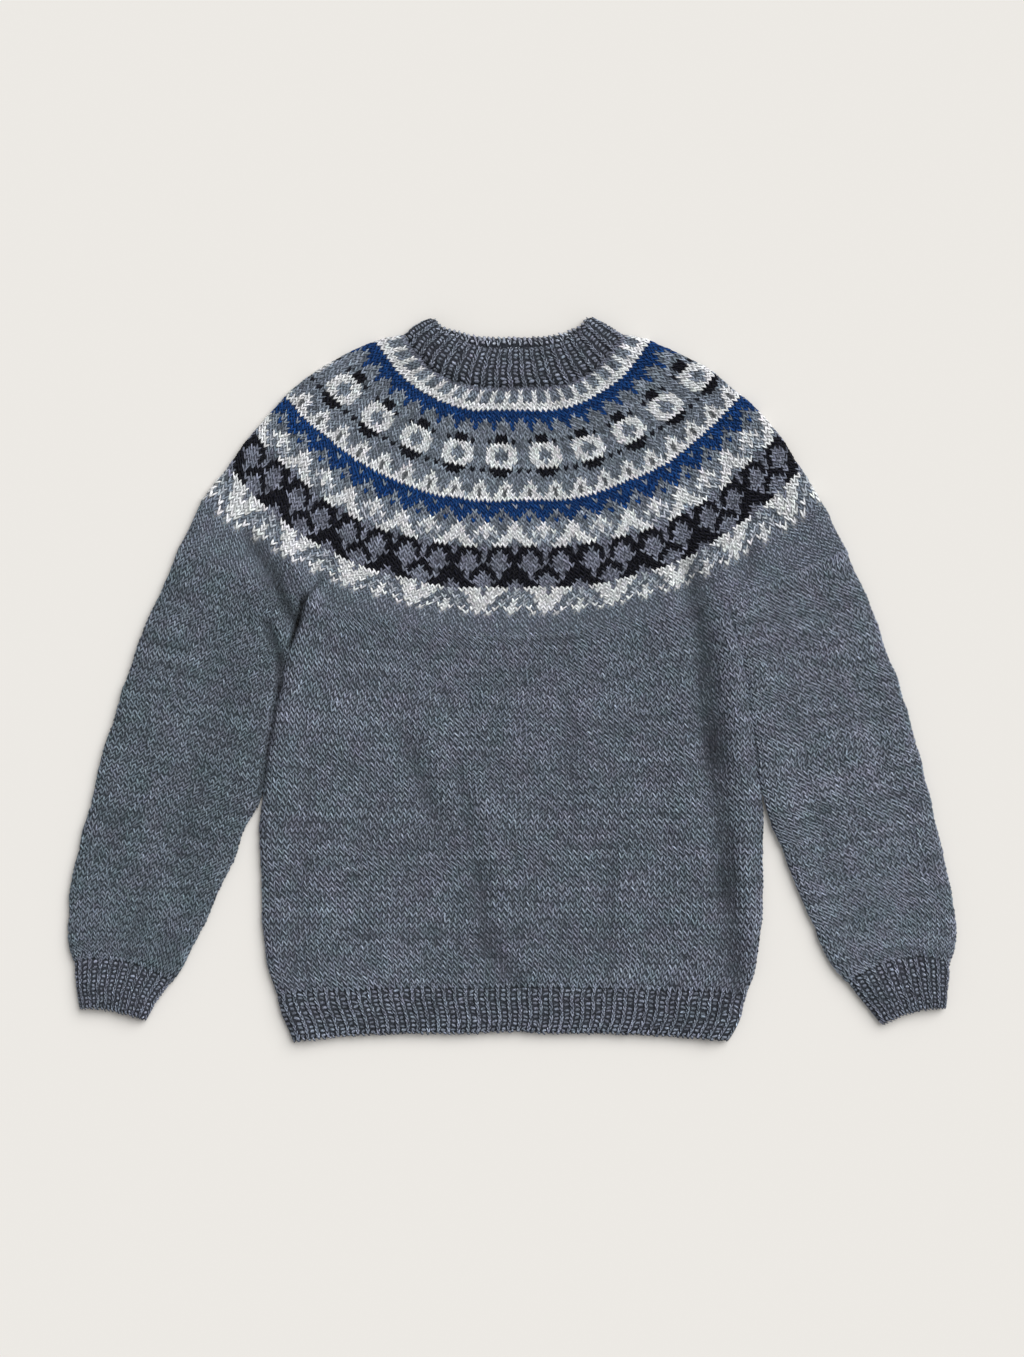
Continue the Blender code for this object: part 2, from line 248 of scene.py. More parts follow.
def join_line(start_x, end_x):
    """The stretch of the joining round that a piece below it meets."""
    x = np.linspace(start_x, end_x, 4 * LINE_POINTS)
    return even_line(x, JOIN_MIDDLE + JOIN_RISE * np.abs(x / JOIN_HALF) ** JOIN_FULLNESS - SEAM)


def through_rounds(at, values, wanted):
    """Values given at a few rounds, read at other rounds from a smooth curve through them."""
    at = np.asarray(at, float)
    values = np.asarray(values, float)
    slopes = np.gradient(values, at, axis=0)
    index = np.clip(np.searchsorted(at, wanted, side="right") - 1, 0, len(at) - 2)
    wide = (len(wanted),) + (1,) * (values.ndim - 1)
    span = (at[index + 1] - at[index]).reshape(wide)
    t = ((wanted - at[index]).reshape(wide)) / span
    start = values[index] * (1 + 2 * t) * (1 - t) ** 2 + slopes[index] * span * t * (1 - t) ** 2
    end = values[index + 1] * t * t * (3 - 2 * t) - slopes[index + 1] * span * t * t * (1 - t)
    return start + end


def ring_points(line, layers, back_lift, back_rise, bulges, inset):
    """Points round one flattened section, from the middle of the lower layer to the left fold, over
    the upper layer to the right fold and back, lying inset below the solid's faces. The bulges say
    how far its two folds stand out."""
    under_points, turn_points, over_points = RING_POINTS
    reach = np.linspace(0.0, 1.0, LINE_POINTS)
    length = np.hypot(*np.diff(line, axis=0).T).sum()
    half = length / 2
    flat = half - FOLD_REACH
    turn = np.linspace(-math.pi / 2, math.pi / 2, turn_points)[1:-1]
    left, right = ((FOLD_REACH + SIDE_RISE + bulge - inset) * np.cos(turn) for bulge in bulges)
    rise = layers / 2 + (layers / 2 - inset) * np.sin(turn)
    share = (1 + np.sin(turn)) / 2
    under = np.linspace(0.0, flat, under_points)
    over = np.linspace(-flat, flat, over_points)
    s = np.concatenate((-under, -flat - left, over, (flat + right)[::-1], under[::-1]))
    low = np.full(under_points, inset)
    z = np.concatenate((low, rise, np.full(over_points, layers - inset), rise[::-1], low))
    none = np.zeros(under_points)
    upper = np.concatenate((none, share, np.ones(over_points), share[::-1], none))
    x = np.interp((s + half) / length, reach, line[:, 0])
    y = np.interp((s + half) / length, reach, line[:, 1])
    swell, swell_at, swell_width = FOLD_SWELL
    from_swell = (half - np.abs(s) - swell_at) / swell_width
    fold = np.maximum(drape(x, y), DEEPEST_TROUGH)
    z += upper * (fold + swell * np.exp(-(from_swell**2)))
    z += (1 - upper) * BACK_LIFT * np.maximum(fold, 0.0)
    crown = (1 - (s / half) ** 2) * (1 - upper)
    aside, up = stray(x, y)
    return np.column_stack((x + aside, y + up + back_lift * crown, z + back_rise * crown))


def rounds_of(lines, rounds):
    """At which round each of these lines lies, by its distance from the first at both folds and in
    the middle."""
    marks = [line[[0, LINE_POINTS // 2, -1]] for line in lines]
    steps = [np.hypot(*(b - a).T).mean() for a, b in zip(marks, marks[1:])]
    reach = np.concatenate(([0.0], np.cumsum(steps)))
    return reach / reach[-1] * rounds


def tube(lines, rounds, around, at=None, layers=LAYERS, back_lift=0.0, back_rise=0.0):
    """The cloth of one tube: its outer and its inner face, each as rings of points in millimetres,
    one ring for each round of stitches and the points of a ring at equal steps. At says in which
    round each line lies. Layers and lifts are given once or for each line."""
    at = rounds_of(lines, rounds) if at is None else at
    sizes = [np.broadcast_to(size, len(lines)) for size in (layers, back_lift, back_rise)]
    wanted = np.arange(rounds + 1.0)
    lines = through_rounds(at, lines, wanted)
    sizes = through_rounds(at, np.column_stack(sizes), wanted)
    bulges = np.random.default_rng(rounds).normal(0.0, UNEVEN, (rounds + 1, 2))
    outer = []
    inner = []
    for line, size, bulge in zip(lines, sizes, bulges):
        face = ring_points(line, *size, bulge, YARN_RISE)
        lining = ring_points(line, *size, bulge, YARN_RISE + CLOTH)
        steps = np.linalg.norm(np.diff(face, axis=0), axis=1)
        reach = np.concatenate(([0.0], np.cumsum(steps)))
        even = np.linspace(0.0, reach[-1], around, endpoint=False)
        outer.append(np.column_stack([np.interp(even, reach, column) for column in face.T]))
        inner.append(np.column_stack([np.interp(even, reach, column) for column in lining.T]))
    return np.array(outer), np.array(inner)


def outward(rings):
    """The direction away from the cloth at each point of its rings."""
    across = np.roll(rings, -1, axis=1) - np.roll(rings, 1, axis=1)
    along = np.gradient(rings, axis=0)
    away = np.cross(across, along)
    return away / np.linalg.norm(away, axis=2, keepdims=True)


def on_cloth(rings, away, share, height_in_rounds, above):
    """Places on the cloth: share is the part of the way round, from the middle of the back."""
    count = rings.shape[1]
    column = share * count
    left = np.floor(column).astype(int)
    side = (column - left)[:, None]
    rounds = np.clip(height_in_rounds, 0.0, len(rings) - 1.0)
    low = np.minimum(rounds.astype(int), len(rings) - 2)
    up = (rounds - low)[:, None]
    left %= count
    right = (left + 1) % count

    def read(values):
        lower = values[low, left] * (1 - side) + values[low, right] * side
        upper = values[low + 1, left] * (1 - side) + values[low + 1, right] * side
        return lower * (1 - up) + upper * up

    spill = (height_in_rounds - rounds)[:, None]
    along = (rings[low + 1, left] - rings[low, left]) * spill
    return read(rings) + along + read(away) * above[:, None]


def new_piece(name, points, faces, colours, material, fibre):
    """A mesh piece in metres with a yarn colour for each of its points, and its place on the yarn:
    across it, along it, and which strand it is."""
    mesh = bpy.data.meshes.new(name)
    sizes = np.array([len(face) for face in faces], np.int32)
    mesh.vertices.add(len(points))
    mesh.vertices.foreach_set("co", np.asarray(points * MM, np.float32).ravel())
    mesh.loops.add(int(sizes.sum()))
    mesh.loops.foreach_set("vertex_index", np.concatenate(faces).astype(np.int32))
    mesh.polygons.add(len(sizes))
    starts = np.concatenate(([0], np.cumsum(sizes)[:-1])).astype(np.int32)
    mesh.polygons.foreach_set("loop_start", starts)
    mesh.update(calc_edges=True)
    mesh.shade_smooth()
    yarn = mesh.attributes.new("yarn", "FLOAT_COLOR", "POINT")
    rgba = np.ones((len(points), 4), np.float32)
    rgba[:, :3] = colours
    yarn.data.foreach_set("color", rgba.ravel())
    run = mesh.attributes.new("fibre", "FLOAT_VECTOR", "POINT")
    run.data.foreach_set("vector", np.asarray(fibre, np.float32).ravel())
    mesh.materials.append(material)
    piece = bpy.data.objects.new(name, mesh)
    scene.collection.objects.link(piece)
    return piece


def shade(red, green, blue):
    """The linear colour of a yarn that looks like this on a scale of 0 to 255."""
    seen = np.array((red, green, blue)) / 255.0
    return np.where(seen <= 0.04045, seen / 12.92, ((seen + 0.055) / 1.055) ** 2.4)


def backing(name, rings, colours, material, every=2):
    """The cloth itself, a closed shell between its outer and inner face, open at both ends."""
    outer, inner = rings
    keep = sorted(set(range(0, len(outer), every)) | {len(outer) - 1})
    outer = outer[keep, ::2]
    inner = inner[keep, ::2]
    rows, around = outer.shape[:2]
    within = rows * around
    index = np.arange(within).reshape(rows, around)
    here = index[:-1]
    beside = np.roll(here, -1, axis=1)
    above = index[1:]
    beyond = np.roll(above, -1, axis=1)
    outside = np.stack((here, beside, beyond, above), axis=-1).reshape(-1, 4)
    inside = outside[:, ::-1] + within
    start, next_start = here[0], beside[0]
    end, next_end = above[-1], beyond[-1]
    low_rim = np.stack((start, start + within, next_start + within, next_start), axis=-1)
    high_rim = np.stack((end, next_end, next_end + within, end + within), axis=-1)
    faces = np.concatenate((outside, inside, low_rim, high_rim))
    points = np.concatenate((outer.reshape(-1, 3), inner.reshape(-1, 3)))
    colours = colours[keep, ::2].reshape(-1, 3)
    return new_piece(name, points, faces, np.concatenate((colours, colours)), material, points)


def model_strand(sides, size, tilt, place, mirrored=False, end_shade=0.66, plump=True):
    """A short length of yarn that shows on the knitting, fat in its middle and running out to a
    point at each end where it dips behind its neighbours. Its size is half its width, length and
    height; widths are in stitches, lengths in rounds and heights in mm. Mirrored makes a pair of
    them. With its points and faces it gives how far each point lies across and along the yarn, and
    how light it is: the crest is light, the flanks and ends are in shadow. Where nobody looks
    closely a strand isn't plump, only two cones base to base."""
    lying = (math.pi / 2, 0.0, 0.0)
    origin = (0.0, 0.0, 0.0)
    bpy.ops.object.select_all(action="DESELECT")
    if plump:
        bpy.ops.mesh.primitive_uv_sphere_add(segments=sides, ring_count=3, radius=1.0,
                                             rotation=lying)
    else:
        bpy.ops.mesh.primitive_cone_add(vertices=sides, radius1=1.0, radius2=0.0, depth=1.0,
                                        end_fill_type="NOTHING", location=(0.0, -0.5, 0.0),
                                        rotation=lying)
    strand = bpy.context.object
    bpy.ops.object.transform_apply(location=True, rotation=True, scale=True)
    bpy.ops.object.mode_set(mode="EDIT")
    bpy.ops.mesh.select_all(action="SELECT")
    if not plump:
        bpy.ops.mesh.duplicate()
        bpy.ops.transform.resize(value=(1.0, -1.0, 1.0), center_override=origin)
        bpy.ops.mesh.select_all(action="SELECT")
        bpy.ops.mesh.remove_doubles(threshold=0.001)
    bpy.ops.transform.rotate(value=math.pi / 2, orient_axis="Y", center_override=origin)
    bpy.ops.transform.resize(value=size, center_override=origin)
    bpy.ops.transform.rotate(value=math.radians(tilt), orient_axis="Z", center_override=origin)
    bpy.ops.transform.translate(value=place)
    if mirrored:
        bpy.ops.mesh.duplicate()
        bpy.ops.transform.resize(value=(-1.0, 1.0, 1.0), center_override=origin)
    bpy.ops.mesh.select_all(action="SELECT")
    bpy.ops.mesh.normals_make_consistent(inside=False)
    bpy.ops.object.mode_set(mode="OBJECT")
    points = np.array([vertex.co[:] for vertex in strand.data.vertices])
    faces = [np.array(face.vertices[:]) for face in strand.data.polygons]
    bpy.data.objects.remove(strand, do_unlink=True)
    turn = math.radians(tilt)
    out = (np.abs(points[:, 0]) if mirrored else points[:, 0]) - place[0]
    up = points[:, 1] - place[1]
    across = out * math.cos(turn) - up * math.sin(turn)
    along = out * math.sin(turn) + up * math.cos(turn)
    crest = (points[:, 2] - place[2]) / size[2]
    light = (CREST_LIGHT[0] + CREST_LIGHT[1] * crest) * (1 - end_shade * (along / size[1]) ** 2)
    return points, faces, np.column_stack((across, along)), light


def lay_stitches(name, cloth, strand, plan, colours, material, seed, loose, lit=LEG_LIGHT):
    """Copies of a stitch laid on the cloth. The plan gives for each its share of the way round, its
    round, its width and its height in rounds. Each hangs and leans a little in its own way, and the
    two legs of a stitch differ a little in colour."""
    points, faces, fibre, light = strand
    share, level, width, tall = (column[:, None] for column in plan.T)
    count = len(plan)
    random = np.random.default_rng(seed)
    hand = np.reshape(HAND, (6, 1, 1)) * random.normal(0.0, loose, (6, count, 1))
    sway, drop, lean, plump, spread, slant = hand
    bright = colours.max(axis=1)[:, None]
    wide = PALE_WIDTH * bright**2 * fibre[:, 0] * np.sign(points[:, 0])
    away = outward(cloth[0])
    centres = on_cloth(cloth[0], away, share[:, 0], level[:, 0], np.zeros(count))
    drift = stray(*centres.T[:2])[0][:, None]
    skew = lean - LEG_SKEW * (lit[0] - lit[1]) * (1 + drift)
    x = points[:, 0] * (1 + spread) + wide + sway + skew * (points[:, 1] - 0.5)
    y = points[:, 1] + drop + slant * points[:, 0]
    above = points[:, 2] * (1 + plump) + PALE_RISE * bright**2
    places = on_cloth(cloth[0], away, (share + x * width).ravel(),
                      (level + y * tall).ravel(), above.ravel())
    places[:, 2] = np.maximum(places[:, 2], 0.0)
    lift = drape(places[:, 0], places[:, 1]).reshape(count, -1)
    fold = np.exp(TROUGH_SHADE * np.minimum(lift, 0.0) + RIDGE_LIGHT * np.maximum(lift, 0.0))
    leg = (points[:, 0] > 0).astype(int)
    change = LEG_SPREAD * (1 - PALE_EVEN[0] * bright) * random.normal(0.0, 1.0, (count, 2))
    legs = (np.exp(change) * np.power(lit, 1 - PALE_EVEN[1] * bright))[:, leg]
    # Painted light and shade: the lit crest and the shaded flanks and ends, the lit and the
    # turned-away leg, and the drape's troughs and ridges.
    shades = colours[:, None, :] * (light ** (1 - PALE_FILL * bright) * legs * fold)[:, :, None]
    run = np.empty((count, len(points), 3))
    run[:, :, :2] = fibre
    run[:, :, 2] = random.uniform(0.0, 90.0, (count, 2))[:, leg]
    shift = np.arange(count) * len(points)
    sizes = [len(face) for face in faces]
    corners = (np.concatenate(faces)[None, :] + shift[:, None]).ravel()
    splits = np.cumsum(np.tile(sizes, count))[:-1]
    return new_piece(name, places, np.split(corners, splits), shades.reshape(-1, 3), material,
                     run.reshape(-1, 3))


def heather(colour, plan, per_round, seed, drift_depth=0.10, near_depth=0.09):
    """The yarn's colour in each stitch. It drifts along the yarn, which runs round after round, and
    differs a little from stitch to stitch."""
    random = np.random.default_rng(seed)
    share, level = plan.T[:2]
    along = level * per_round + share * per_round
    drift = 1 + random.normal(0.0, near_depth, (len(plan), 1))
    for length, strength in DRIFTS:
        knots = np.arange(0.0, along.max() + 2 * length, length)
        depth = strength * drift_depth
        drift[:, 0] += np.interp(along, knots, random.normal(0.0, depth, len(knots)))
    tint = 1 + random.normal(0.0, TINT, (len(plan), 3))
    return np.asarray(colour) * np.clip(drift, *TONE_LIMITS) * tint


def put(node, values):
    """Give a shader node's inputs these values."""
    for name, value in values.items():
        node.inputs[name].default_value = value


def noise(nodes, links, vector, scale, low, high):
    """A noise of this many waves to a unit, spread over low to high."""
    texture = nodes.new("ShaderNodeTexNoise")
    put(texture, {"Scale": scale, "Detail": 2.0, "Roughness": 0.6})
    links.new(vector, texture.inputs["Vector"])
    spread = nodes.new("ShaderNodeMapRange")
    put(spread, {"From Min": 0.30, "From Max": 0.70, "To Min": low, "To Max": high})
    links.new(texture.outputs["Fac"], spread.inputs["Value"])
    return spread.outputs["Result"]


def wool(name, streak, run, fleck, hair, patch):
    """Woollen yarn: the stitch's own colour, broken up by paler and darker fibres that run along
    the yarn, by flecks, by broad patches that are lilac or green-grey, and by loose hairs that lift
    the surface. Run is how short the streaks are."""
    material = bpy.data.materials.new(name)
    material.use_nodes = True
    nodes = material.node_tree.nodes
    links = material.node_tree.links
    shader = nodes["Principled BSDF"]
    put(shader, {"Roughness": 0.95, "Specular IOR Level": 0.10, "Sheen Weight": 0.04,
                 "Sheen Roughness": 0.6})
    yarn = nodes.new("ShaderNodeAttribute")
    yarn.attribute_name = "yarn"
    fibre = nodes.new("ShaderNodeAttribute")
    fibre.attribute_name = "fibre"
    stretch = nodes.new("ShaderNodeMapping")
    put(stretch, {"Scale": (FIBRES_ACROSS, run, 1.0)})
    links.new(fibre.outputs["Vector"], stretch.inputs["Vector"])
    place = nodes.new("ShaderNodeTexCoord").outputs["Object"]
    tone = yarn.outputs["Color"]
    for vector, scale, depth in ((stretch.outputs["Vector"], 1.0, streak), (place, FLECKS, fleck),
                                 (place, MOTTLES, MOTTLE_DEPTH * patch)):
        change = nodes.new("ShaderNodeVectorMath")
        change.operation = "SCALE"
        links.new(tone, change.inputs[0])
        links.new(noise(nodes, links, vector, scale, 1 - depth, 1 + depth),
                  change.inputs["Scale"])
        tone = change.outputs["Vector"]
    tint = nodes.new("ShaderNodeMix")
    tint.data_type = "RGBA"
    put(tint, {"A": (*GREEN_GREY, 1.0), "B": (*LILAC, 1.0)})
    links.new(noise(nodes, links, place, PATCHES, 0.5 - patch, 0.5 + patch),
              tint.inputs["Factor"])
    patched = nodes.new("ShaderNodeVectorMath")
    patched.operation = "MULTIPLY"
    links.new(tone, patched.inputs[0])
    links.new(tint.outputs["Result"], patched.inputs[1])
    links.new(patched.outputs["Vector"], shader.inputs["Base Color"])
    bump = nodes.new("ShaderNodeBump")
    put(bump, {"Strength": hair, "Distance": 0.0004})
    links.new(noise(nodes, links, place, HAIRS, 0.0, 1.0), bump.inputs["Height"])
    links.new(bump.outputs["Normal"], shader.inputs["Normal"])
    return material


def columns_between(start, end, columns):
    """Middles of the columns round a tube that lie on this share of the way round."""
    share = (np.arange(2 * columns) + 0.5) / columns
    return share[(share >= start) & (share < end)]


def plan_rows(shares, levels, width):
    """A plan of rows of stitches: the same shares of the way round on each of these rounds."""
    share = np.tile(shares, len(levels))
    level = np.repeat(np.asarray(levels, float), len(shares))
    return np.column_stack((share, level, np.full(len(share), width), np.ones(len(share))))


def knit_plain(name, cloth, columns, rounds, turn, colour, seed, loose=PLAIN_LOOSE, lit=LEG_LIGHT):
    """Stocking stitch round a tube, simpler on the side that lies on the ground. The front reaches
    round past the side folds by this turn."""
    pieces = []
    for part, start, end, stitch, step, hand in (
        ("front", TOP_START - turn, TOP_END + turn, knit_stitch, 0, (loose, lit)),
        ("back", TOP_END + turn, BACK_END - turn, plain_stitch, 1, (PLAIN_LOOSE, LEG_LIGHT)),
    ):
        plan = plan_rows(columns_between(start, end, columns), range(rounds), 1.0 / columns)
        tones = heather(shade(*colour), plan, columns, seed + step)
        pieces.append(lay_stitches(f"{name}_{part}_stitches", cloth, stitch, plan, tones,
                                   heather_wool, seed + step, *hand))
    return pieces


def dark(cloth, colour, share=0.26):
    """The colours of the cloth behind the stitches: the yarn darkened, painted shade for the gaps.
    """
    return np.broadcast_to(shade(*colour) * share, cloth[0].shape)


def finish_piece(cloth_piece, stitches, node):
    """The cloth stands for its solid piece, which is hidden; it and its stitches hang from the
    root.
    """
    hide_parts(node)
    for piece in (cloth_piece, *stitches):
        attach(piece, "root")


knit_stitch = model_strand(3, (0.21, 0.80, 0.80), 24.0, (0.25, 0.5, 0.36), True, 0.58)
plain_stitch = model_strand(3, (0.24, 0.92, 0.50), 22.0, (0.25, 0.5, 0.10), True, plump=False)
heather_wool = wool("heather_wool", 0.50, 1.3, 0.25, 0.5, 0.32)

body_lines = [round_line(y - rise, left, y, right, y, fullness)
              for y, rise, fullness, left, right in BODY_SIDES[::-1]]
body_lines.append(join_line(UNDERARM_LEFT, UNDERARM_RIGHT))
body_cloth = tube(body_lines, BODY_ROUNDS, 2 * BODY_COLUMNS)
body = backing("body_cloth", body_cloth, dark(body_cloth, BODY_GREY), heather_wool)
body_stitches = knit_plain("body", body_cloth, BODY_COLUMNS, BODY_ROUNDS, 0.0, BODY_GREY, 11)
finish_piece(body, body_stitches, "body")


# --- The hem rib ---
# A band of one knit and one purl stitch in turn, knitted on to the body's lower edge in a yarn with
# more dark strands. The knit columns stand up and the purl stitches lie between them as short bars.
HEM_COLUMNS = 176
HEM_ROUNDS = 10
RIB_HEIGHT = 1.1  # how far its knit columns stand up
RIB_SHARP = 1.6  # how narrow their crests are
RIB_FACING = 1.6  # how soon they stand fully where the cloth turns up from a side fold
RIB_GAP_SHADE = 0.18  # painted shade: how light the cloth in the gaps between them is drawn, next to the yarn
RIB_GREY = (121, 128, 142)
RIB_LIGHT = (1.24, 0.94)  # of the raised knit columns and of the purl ones
RIB_CHANGE = ((0.08, 0.14), (0.10, 0.22))  # how far and how near their colour changes
RIB_LOOSE = (1.0, 1.7)  # how unevenly both lie
RIB_LEGS = (1.16, 0.92)  # the light on the left and the right of a stitch
RIB_LAP = 1  # the knit columns run on for this many rounds over the plain cloth
EDGE_CHANGE = (0.10, 0.16)  # the colour's change in the chain along its edge
EDGE_LOOSE = 1.6
HEM_SIDES = (
    # side y, rise, fullness, left x, right x
    (-279, -6, 3, -208.6, 207.8),
    (-298, -7, 3, -203, 201),
    (-318.8, -8.2, 3, -193.2, 190.6),
)


def raise_ribs(cloth, ribs, height):
    """The cloth with its knit columns standing up, on the layer that faces up."""
    outer, inner = cloth
    away = outward(outer)
    share = np.arange(outer.shape[1]) / outer.shape[1]
    wave = 0.5 - 0.5 * np.cos(2 * math.pi * (ribs * share - 0.25))
    facing = np.clip(RIB_FACING * away[:, :, 2:], 0.0, 1.0)
    return outer + away * facing * (height * wave**RIB_SHARP)[None, :, None], inner


def knit_rib(name, cloth, columns, levels, start, end, strands, colour, seed, lap=0,
             light=RIB_LIGHT):
    """Rib on a share of the way round a tube: every second column is knit, the others purl. The
    knit columns may run on for a few rounds over the cloth above."""
    shares = columns_between(start, end, columns)
    purl = np.round(shares * columns - 0.5).astype(int) % 2 == 0
    above = [max(levels) + 1 + row for row in range(lap)]
    pieces = []
    for kind, picked, rows in ((0, ~purl, [*levels, *above]), (1, purl, levels)):
        plan = plan_rows(shares[picked], rows, 1.0 / columns)
        tones = heather(shade(*colour) * light[kind], plan, columns, seed + kind, *RIB_CHANGE[kind])
        pieces.append(lay_stitches(f"{name}_{('knit', 'purl')[kind]}", cloth, strands[kind], plan,
                                   tones, marled_rib, seed + kind, RIB_LOOSE[kind], RIB_LEGS))
    return pieces


def rib_round(name, cloth, columns, levels, turn, strands, seed, lap=0, light=RIB_LIGHT):
    """Rib all round a tube, simpler on the side that lies on the ground."""
    return (knit_rib(f"{name}_front", cloth, columns, levels, TOP_START - turn, TOP_END + turn,
                     strands, RIB_GREY, seed, lap, light)
            + knit_rib(f"{name}_back", cloth, columns, levels, TOP_END + turn, BACK_END - turn,
                       RIB_UNDER, RIB_GREY, seed + 3))


def cast_edge(name, cloth, strand, columns, level, colour, seed, start=0.0, end=1.0):
    """The edge that finishes a rib, a chain of slanting strands along the last round."""
    plan = plan_rows(columns_between(start, end, columns), [level], 1.0 / columns)
    tones = heather(shade(*colour), plan, columns, seed, *EDGE_CHANGE)
    return lay_stitches(name, cloth, strand, plan, tones, marled_rib, seed, EDGE_LOOSE)


# A knit stitch and a purl bar: for the hem, for undersides, and for ribs that stand up less.
RIB = (model_strand(3, (0.155, 0.78, 0.62), 12.0, (0.13, 0.5, 0.40), True, 0.50),
       model_strand(4, (0.42, 0.55, 0.80), 90.0, (0.0, 0.5, 0.24), False, 0.50))
RIB_UNDER = (model_strand(3, (0.22, 0.86, 0.45), 17.0, (0.20, 0.5, 0.15), True, plump=False),
             model_strand(3, (0.36, 0.66, 0.45), 90.0, (0.0, 0.5, 0.10), plump=False))
RIB_FLAT = (model_strand(3, (0.16, 0.80, 0.62), 14.0, (0.16, 0.5, 0.40), True, 0.50),
            model_strand(4, (0.42, 0.43, 0.80), 90.0, (0.0, 0.5, 0.24), False, 0.50))
edge_strand = model_strand(3, (0.36, 0.60, 0.45), -36.0, (0.0, 0.0, 0.15))
marled_rib = wool("marled_rib", 1.0, 2.4, 0.55, 0.6, 0.22)

hem_lines = [round_line(y - rise, left, y, right, y, fullness)
             for y, rise, fullness, left, right in HEM_SIDES[::-1]]
hem_cloth = tube(hem_lines, HEM_ROUNDS, 4 * HEM_COLUMNS)
hem_cloth = raise_ribs(hem_cloth, HEM_COLUMNS // 2, RIB_HEIGHT)
hem = backing("hem_cloth", hem_cloth, dark(hem_cloth, RIB_GREY, RIB_GAP_SHADE), marled_rib)
hem_stitches = rib_round("hem", hem_cloth, HEM_COLUMNS, range(HEM_ROUNDS), 0.0, RIB, 21, RIB_LAP)
hem_stitches.append(cast_edge("hem_edge", hem_cloth, edge_strand, HEM_COLUMNS, 0.0, RIB_GREY, 27))
finish_piece(hem, hem_stitches, "hem_rib")


# --- The sleeves ---
# Two plain tubes in the body's yarn and stitch, knitted up from the cuffs and widened towards the
# underarms. They lie beside the body and touch it from the underarms down.
SLEEVE_COLUMNS = 59
SLEEVE_ROUNDS = 86
SIDE_GAP = 0.5  # between a sleeve and the body
SLEEVE_BESIDE_BODY = 6  # so many of the rows below touch the body
SLEEVE_TURN = 0.02  # how far round past the side folds its front's stitches reach
# The sleeves share one yarn: the left is painted darker as shade and the right lighter as light,
# for how the light falls.
SLEEVE_LIT_GREYS = ((123, 134, 146), (138, 147, 161))  # the same yarn, with painted shade and painted light
SLEEVE_LEFT = (
    # outer x, outer y, inner x, inner y, bow
    (-307.8, 84.3, -189.2, 50.8, 0),
    (-319.6, 59.6, -197.8, 26, 0),
    (-330.6, 31.3, -203.6, 4, 0),
    (-340, 4, -208.9, -20.7, 0),
    (-348.4, -23.4, -214, -49, 0),
    (-356.2, -49.9, -218.5, -76.4, 0),
    (-363.4, -74.6, -222.9, -104.6, 0),
    (-370.4, -102, -236.2, -129.4, 0),
    (-376.8, -127.6, -242.9, -148.8, 0),
    (-383, -152.3, -252.4, -170, 1),
    (-388.4, -177, -261.8, -191.2, 2),
    (-391.2, -201.8, -271.4, -214.1, 3.5),
    (-392.4, -224.7, -281, -234.6, 5.5),
    (-390.8, -239, -290, -251.6, 7.5),
    (-386.4, -249.9, -301, -266.4, 10),
)
SLEEVE_RIGHT = (
    (307.4, 84.3, 194.4, 50.8, 0),
    (318.2, 59.6, 201.8, 26, 0),
    (328.2, 31.3, 206.4, 4, 0),
    (338, 4, 209.9, -20.7, 0),
    (346.6, -23.4, 213.9, -49, 0),
    (354.6, -49.9, 217.2, -76.4, 0),
    (361.6, -74.6, 222.6, -104.6, 0),
    (367.9, -102, 229.4, -129.4, 0),
    (374, -127.6, 238, -148.8, 0),
    (380.2, -152.3, 246.8, -170, 1.5),
    (385.6, -177, 255.6, -191.2, 3),
    (389.8, -201.8, 264.2, -214.1, 5),
    (392.6, -224.7, 273.4, -235.3, 7.5),
    (391.6, -238, 283, -251.6, 10),
    (387.4, -249.9, 297, -267.4, 13),
)


def bowed_line(start, end, bow):
    """A line across a sleeve or cuff whose middle lies this far above a straight run."""
    t = np.linspace(0.0, 1.0, 4 * LINE_POINTS)
    x = start[0] * (1 - t) + end[0] * t
    return even_line(x, start[1] * (1 - t) + end[1] * t + 4 * bow * t * (1 - t))


def sleeve_lines(table, side, underarm_x):
    """The sleeve's lines from the cuff up to the joining round, each from left to right."""
    top = join_line(side * JOIN_HALF, underarm_x + side * SIDE_GAP)
    bend = top - bowed_line(top[0], top[-1], 0.0)
    lines = [top]
    for index, (outer_x, outer_y, inner_x, inner_y, bow) in enumerate(table):
        share = max(0.0, 1 - (index + 1) / SLEEVE_BESIDE_BODY)
        gap = side * SIDE_GAP if index < SLEEVE_BESIDE_BODY else 0.0
        line = bowed_line((outer_x, outer_y), (inner_x + gap, inner_y), bow)
        lines.append(line + share * bend)
    return [line[::-side] for line in lines[::-1]]


for name, side, underarm_x, table, grey, loose, lit, seed in (
    ("left", -1, UNDERARM_LEFT, SLEEVE_LEFT, SLEEVE_LIT_GREYS[0], 1.7, SLANT_LIGHT, 31),
    ("right", 1, UNDERARM_RIGHT, SLEEVE_RIGHT, SLEEVE_LIT_GREYS[1], 1.5, LEG_LIGHT, 35),
):
    cloth = tube(sleeve_lines(table, side, underarm_x), SLEEVE_ROUNDS, 4 * SLEEVE_COLUMNS)
    sleeve = backing(f"sleeve_{name}_cloth", cloth, dark(cloth, grey), heather_wool)
    stitches = knit_plain(f"sleeve_{name}", cloth, SLEEVE_COLUMNS, SLEEVE_ROUNDS, SLEEVE_TURN, grey,
                          seed, loose, lit)
    finish_piece(sleeve, stitches, f"sleeve_{name}")


